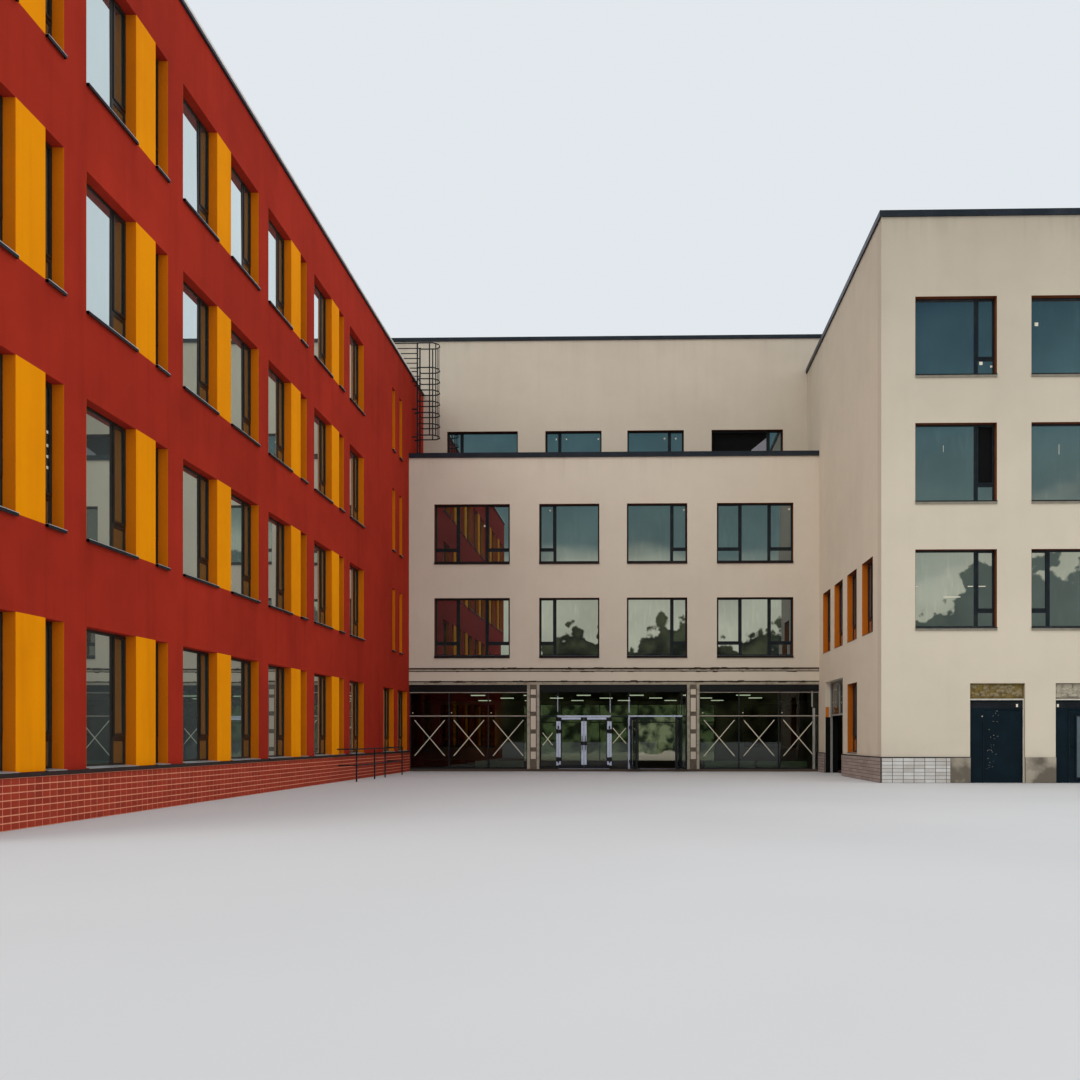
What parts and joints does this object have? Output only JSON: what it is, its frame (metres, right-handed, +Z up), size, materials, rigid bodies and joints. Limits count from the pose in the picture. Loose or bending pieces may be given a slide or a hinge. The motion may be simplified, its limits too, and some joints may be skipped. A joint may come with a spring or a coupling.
{
  "type": "school building, 1:2 scale model",
  "caption": "Four-storey school building round an open courtyard, with a red and a cream wing, a glazed entrance hall, a set-back top storey and hinged doors; model at 1:2.",
  "frame": {"origin": "on the ground at the middle of the footprint's box", "axes": "+Z up, +Y from the courtyard's open end to the back, +X across the courtyard towards the cream wing"},
  "size_m": [23.81, 23.71, 9.585],
  "materials": {
    "red_render": "rough mineral render",
    "cream_render": "rough mineral render",
    "pier_render": "rough mineral render",
    "concrete": "plain concrete",
    "roof_sheet": "bitumen roofing",
    "coping_metal": "folded sheet",
    "clinker": "unglazed tile",
    "pale_tile": "stone tile",
    "window_units": "dark framed glazing",
    "entrance_glazing": "clear glass in dark frames",
    "header_metal": "dark panel",
    "door_steel": "satin paint",
    "insulation": "bare board",
    "dark_steel": "satin paint"
  },
  "bodies": {
    "building": {"red_courtyard_wall": "red_render", "red_window_piers": "pier_render", "red_courtyard_windows": "window_units", "red_outer_wall": "red_render", "red_end_wall": "red_render", "red_end_windows": "window_units", "red_floors": "concrete", "red_roof": "roof_sheet", "red_coping": "coping_metal", "red_plinth": "clinker", "right_front_wall": "cream_render", "right_front_base": "cream_render", "right_front_windows": "window_units", "right_courtyard_wall": "cream_render", "right_courtyard_base": "cream_render", "right_courtyard_windows": "window_units", "side_door_transom": "window_units", "side_door_posts": "door_steel", "right_side_wall": "cream_render", "right_side_windows": "window_units", "right_floors": "concrete", "right_roof": "roof_sheet", "right_coping": "coping_metal", "cream_plinth": "pale_tile", "service_door_frames": "door_steel", "door_head_boards": "insulation", "hall_front_wall": "cream_render", "hall_windows": "window_units", "terrace_roof": "roof_sheet", "terrace_coping": "coping_metal", "entrance_pilasters": "cream_render", "entrance_header": "header_metal", "entrance_glazing_left": "entrance_glazing", "entrance_glazing_right": "entrance_glazing", "entrance_top_light": "entrance_glazing", "entrance_side_lights": "entrance_glazing", "main_front_wall": "cream_render", "main_front_windows": "window_units", "main_back_wall": "cream_render", "main_back_windows": "window_units", "back_entrance_glazing": "entrance_glazing", "main_end_walls": "cream_render", "left_side_windows": "window_units", "main_floors": "concrete", "main_roof": "roof_sheet", "main_coping": "coping_metal", "roof_ladder": "dark_steel", "ladder_hoops": "dark_steel", "ladder_straps": "dark_steel", "roof_guard_rails": "dark_steel", "foot_railing": "dark_steel"},
    "service_door_1": {"service_door_1": "door_steel"},
    "service_door_2": {"service_door_2": "door_steel"},
    "entrance_leaf_a_left": {"entrance_leaf_a_left": "entrance_glazing"},
    "entrance_leaf_a_right": {"entrance_leaf_a_right": "entrance_glazing"},
    "entrance_leaf_b_left": {"entrance_leaf_b_left": "entrance_glazing"},
    "entrance_leaf_b_right": {"entrance_leaf_b_right": "entrance_glazing"}
  },
  "joints": [
    {"name": "service_door_1_hinge", "type": "hinge", "parent": "building", "child": "service_door_1", "pos_m": [6.422, -2.075, 0.56], "axis": [0, 0, 1], "range_deg": [0, 90]},
    {"name": "service_door_2_hinge", "type": "hinge", "parent": "building", "child": "service_door_2", "pos_m": [7.727, -2.075, 0.56], "axis": [0, 0, 1], "range_deg": [0, 90]},
    {"name": "entrance_leaf_a_left_hinge", "type": "hinge", "parent": "building", "child": "entrance_leaf_a_left", "pos_m": [-1.147, 3.375, 0.58], "axis": [0, 0, -1], "range_deg": [0, 90]},
    {"name": "entrance_leaf_a_right_hinge", "type": "hinge", "parent": "building", "child": "entrance_leaf_a_right", "pos_m": [-0.068, 3.375, 0.58], "axis": [0, 0, 1], "range_deg": [0, 90]},
    {"name": "entrance_leaf_b_left_hinge", "type": "hinge", "parent": "building", "child": "entrance_leaf_b_left", "pos_m": [0.336, 3.375, 0.58], "axis": [0, 0, 1], "range_deg": [-14, 76]},
    {"name": "entrance_leaf_b_right_hinge", "type": "hinge", "parent": "building", "child": "entrance_leaf_b_right", "pos_m": [1.415, 3.375, 0.58], "axis": [0, 0, -1], "range_deg": [-12, 78]}
  ]
}
